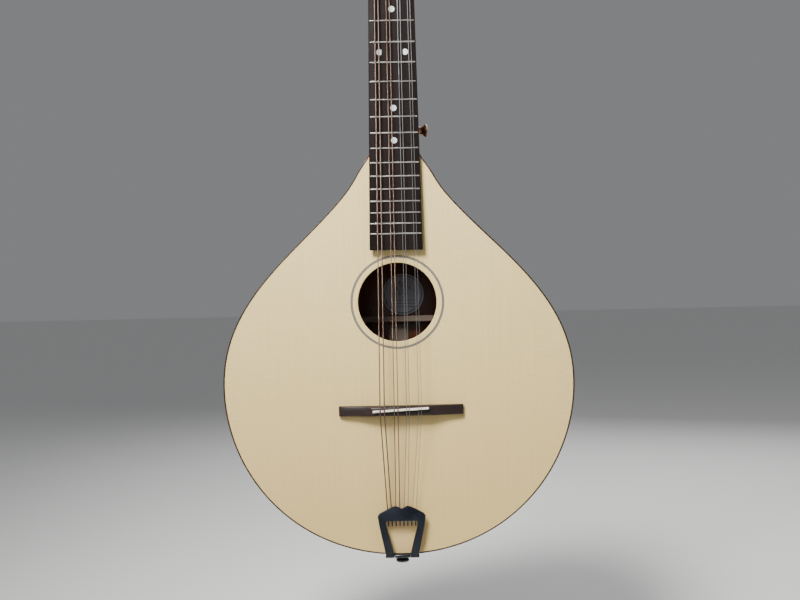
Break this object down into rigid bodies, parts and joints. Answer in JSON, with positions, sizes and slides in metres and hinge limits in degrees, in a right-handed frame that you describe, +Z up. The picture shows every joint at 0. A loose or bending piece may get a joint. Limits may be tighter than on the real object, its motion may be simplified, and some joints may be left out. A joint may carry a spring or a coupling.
{
  "type": "long-scale mandolin",
  "caption": "Teardrop flat-top mandolin of the long-scale, octave-pitched kind, with paired strings, floating bridge, hinged tailpiece and geared tuners.",
  "frame": {"origin": "centre of the hanger yoke under the headstock, just past the nut", "axes": "+Z up the neck, -Y out of the soundboard, +X towards the treble side"},
  "size_m": [0.339, 0.1062, 0.9674],
  "materials": {
    "spruce": "satin, fine straight grain with faint cross silk",
    "body_wood": "satin dark reddish-brown hardwood",
    "inner_wood": "raw, sanded",
    "neck_wood": "satin",
    "rosewood": "oiled, open pores",
    "binding": "satin, nearly black",
    "bone": "polished bone",
    "rosette": "grey ring with dark edges",
    "black_metal": "gloss black",
    "nickel": "polished nickel plate",
    "steel": "plain drawn wire",
    "bronze": "bronze wound wire",
    "button_metal": "polished dark bronze plate",
    "button_plastic": "cream"
  },
  "bodies": {
    "body_and_neck": {"soundboard": "spruce", "back_plate": "body_wood", "rib_bass": "body_wood", "rib_treble": "body_wood", "top_binding": "binding", "back_binding": "binding", "rosette": "rosette", "top_lining_bass": "inner_wood", "top_lining_treble": "inner_wood", "back_lining_bass": "inner_wood", "back_lining_treble": "inner_wood", "neck_block": "inner_wood", "tail_block": "inner_wood", "top_brace_upper": "inner_wood", "top_brace_lower": "inner_wood", "back_brace_upper": "inner_wood", "back_brace_middle": "inner_wood", "back_brace_lower": "inner_wood", "tone_bar_bass": "inner_wood", "tone_bar_treble": "inner_wood", "back_seam_strip": "inner_wood", "neck": "neck_wood", "fretboard": "rosewood", "nut": "bone", "truss_rod": "steel", "truss_rod_cover": "rosewood", "bridge": "rosewood", "saddle": "bone", "tailpiece_bracket": "black_metal", "tailpiece_hinge_pin": "nickel", "end_button": "black_metal", "heel_button": "button_metal", "tuner_plate_bass": "nickel", "tuner_plate_treble": "nickel", "string_g_outer": "bronze", "string_g_inner": "bronze", "string_d_outer": "bronze", "string_d_inner": "bronze", "string_a_inner": "steel", "string_a_outer": "steel", "string_e_inner": "steel", "string_e_outer": "steel"},
    "tailpiece": {"tailpiece": "black_metal"},
    "truss_rod_nut": {"truss_rod_nut": "nickel"},
    "string_post_bass_1": {"string_post_bass_1": "nickel"},
    "tuner_shaft_bass_1": {"tuner_shaft_bass_1": "nickel"},
    "string_post_bass_2": {"string_post_bass_2": "nickel"},
    "tuner_shaft_bass_2": {"tuner_shaft_bass_2": "nickel"},
    "string_post_bass_3": {"string_post_bass_3": "nickel"},
    "tuner_shaft_bass_3": {"tuner_shaft_bass_3": "nickel"},
    "string_post_bass_4": {"string_post_bass_4": "nickel"},
    "tuner_shaft_bass_4": {"tuner_shaft_bass_4": "nickel"},
    "string_post_treble_1": {"string_post_treble_1": "nickel"},
    "tuner_shaft_treble_1": {"tuner_shaft_treble_1": "nickel"},
    "string_post_treble_2": {"string_post_treble_2": "nickel"},
    "tuner_shaft_treble_2": {"tuner_shaft_treble_2": "nickel"},
    "string_post_treble_3": {"string_post_treble_3": "nickel"},
    "tuner_shaft_treble_3": {"tuner_shaft_treble_3": "nickel"},
    "string_post_treble_4": {"string_post_treble_4": "nickel"},
    "tuner_shaft_treble_4": {"tuner_shaft_treble_4": "nickel"}
  },
  "joints": [
    {"name": "tailpiece_hinge", "type": "hinge", "parent": "body_and_neck", "child": "tailpiece", "pos_m": [0, -0.0192, -0.8164], "axis": [1, 0, 0], "range_deg": [0, 3]},
    {"name": "truss_rod_adjust", "type": "hinge", "parent": "body_and_neck", "child": "truss_rod_nut", "pos_m": [0, 0.00288, -0.00128], "axis": [0, 0.0227, 0.9997], "range_deg": [-180, 180]},
    {"name": "tuner_turn_bass_1", "type": "hinge", "parent": "body_and_neck", "child": "tuner_shaft_bass_1", "pos_m": [-0.02, 0.02588, 0.02911], "axis": [1, 0, 0], "continuous": true},
    {"name": "post_turn_bass_1", "type": "hinge", "parent": "body_and_neck", "child": "string_post_bass_1", "pos_m": [-0.02, 0.00458, 0.02665], "axis": [0, -0.9646, 0.2639], "continuous": true},
    {"name": "tuner_turn_bass_2", "type": "hinge", "parent": "body_and_neck", "child": "tuner_shaft_bass_2", "pos_m": [-0.02, 0.03195, 0.0513], "axis": [1, 0, 0], "continuous": true},
    {"name": "post_turn_bass_2", "type": "hinge", "parent": "body_and_neck", "child": "string_post_bass_2", "pos_m": [-0.02, 0.01065, 0.04884], "axis": [0, -0.9646, 0.2639], "continuous": true},
    {"name": "tuner_turn_bass_3", "type": "hinge", "parent": "body_and_neck", "child": "tuner_shaft_bass_3", "pos_m": [-0.02, 0.03802, 0.07348], "axis": [1, 0, 0], "continuous": true},
    {"name": "post_turn_bass_3", "type": "hinge", "parent": "body_and_neck", "child": "string_post_bass_3", "pos_m": [-0.02, 0.01672, 0.07102], "axis": [0, -0.9646, 0.2639], "continuous": true},
    {"name": "tuner_turn_bass_4", "type": "hinge", "parent": "body_and_neck", "child": "tuner_shaft_bass_4", "pos_m": [-0.02, 0.04409, 0.09567], "axis": [1, 0, 0], "continuous": true},
    {"name": "post_turn_bass_4", "type": "hinge", "parent": "body_and_neck", "child": "string_post_bass_4", "pos_m": [-0.02, 0.02278, 0.0932], "axis": [0, -0.9646, 0.2639], "continuous": true},
    {"name": "tuner_turn_treble_1", "type": "hinge", "parent": "body_and_neck", "child": "tuner_shaft_treble_1", "pos_m": [0.02, 0.02588, 0.02911], "axis": [1, 0, 0], "continuous": true},
    {"name": "post_turn_treble_1", "type": "hinge", "parent": "body_and_neck", "child": "string_post_treble_1", "pos_m": [0.02, 0.00458, 0.02665], "axis": [0, -0.9646, 0.2639], "continuous": true},
    {"name": "tuner_turn_treble_2", "type": "hinge", "parent": "body_and_neck", "child": "tuner_shaft_treble_2", "pos_m": [0.02, 0.03195, 0.0513], "axis": [1, 0, 0], "continuous": true},
    {"name": "post_turn_treble_2", "type": "hinge", "parent": "body_and_neck", "child": "string_post_treble_2", "pos_m": [0.02, 0.01065, 0.04884], "axis": [0, -0.9646, 0.2639], "continuous": true},
    {"name": "tuner_turn_treble_3", "type": "hinge", "parent": "body_and_neck", "child": "tuner_shaft_treble_3", "pos_m": [0.02, 0.03802, 0.07348], "axis": [1, 0, 0], "continuous": true},
    {"name": "post_turn_treble_3", "type": "hinge", "parent": "body_and_neck", "child": "string_post_treble_3", "pos_m": [0.02, 0.01672, 0.07102], "axis": [0, -0.9646, 0.2639], "continuous": true},
    {"name": "tuner_turn_treble_4", "type": "hinge", "parent": "body_and_neck", "child": "tuner_shaft_treble_4", "pos_m": [0.02, 0.04409, 0.09567], "axis": [1, 0, 0], "continuous": true},
    {"name": "post_turn_treble_4", "type": "hinge", "parent": "body_and_neck", "child": "string_post_treble_4", "pos_m": [0.02, 0.02278, 0.0932], "axis": [0, -0.9646, 0.2639], "continuous": true}
  ],
  "couplings": [
    {"joint": "post_turn_bass_1", "follows": "tuner_turn_bass_1", "ratio": 0.066667},
    {"joint": "post_turn_bass_2", "follows": "tuner_turn_bass_2", "ratio": 0.066667},
    {"joint": "post_turn_bass_3", "follows": "tuner_turn_bass_3", "ratio": 0.066667},
    {"joint": "post_turn_bass_4", "follows": "tuner_turn_bass_4", "ratio": 0.066667},
    {"joint": "post_turn_treble_1", "follows": "tuner_turn_treble_1", "ratio": 0.066667},
    {"joint": "post_turn_treble_2", "follows": "tuner_turn_treble_2", "ratio": 0.066667},
    {"joint": "post_turn_treble_3", "follows": "tuner_turn_treble_3", "ratio": 0.066667},
    {"joint": "post_turn_treble_4", "follows": "tuner_turn_treble_4", "ratio": 0.066667}
  ]
}
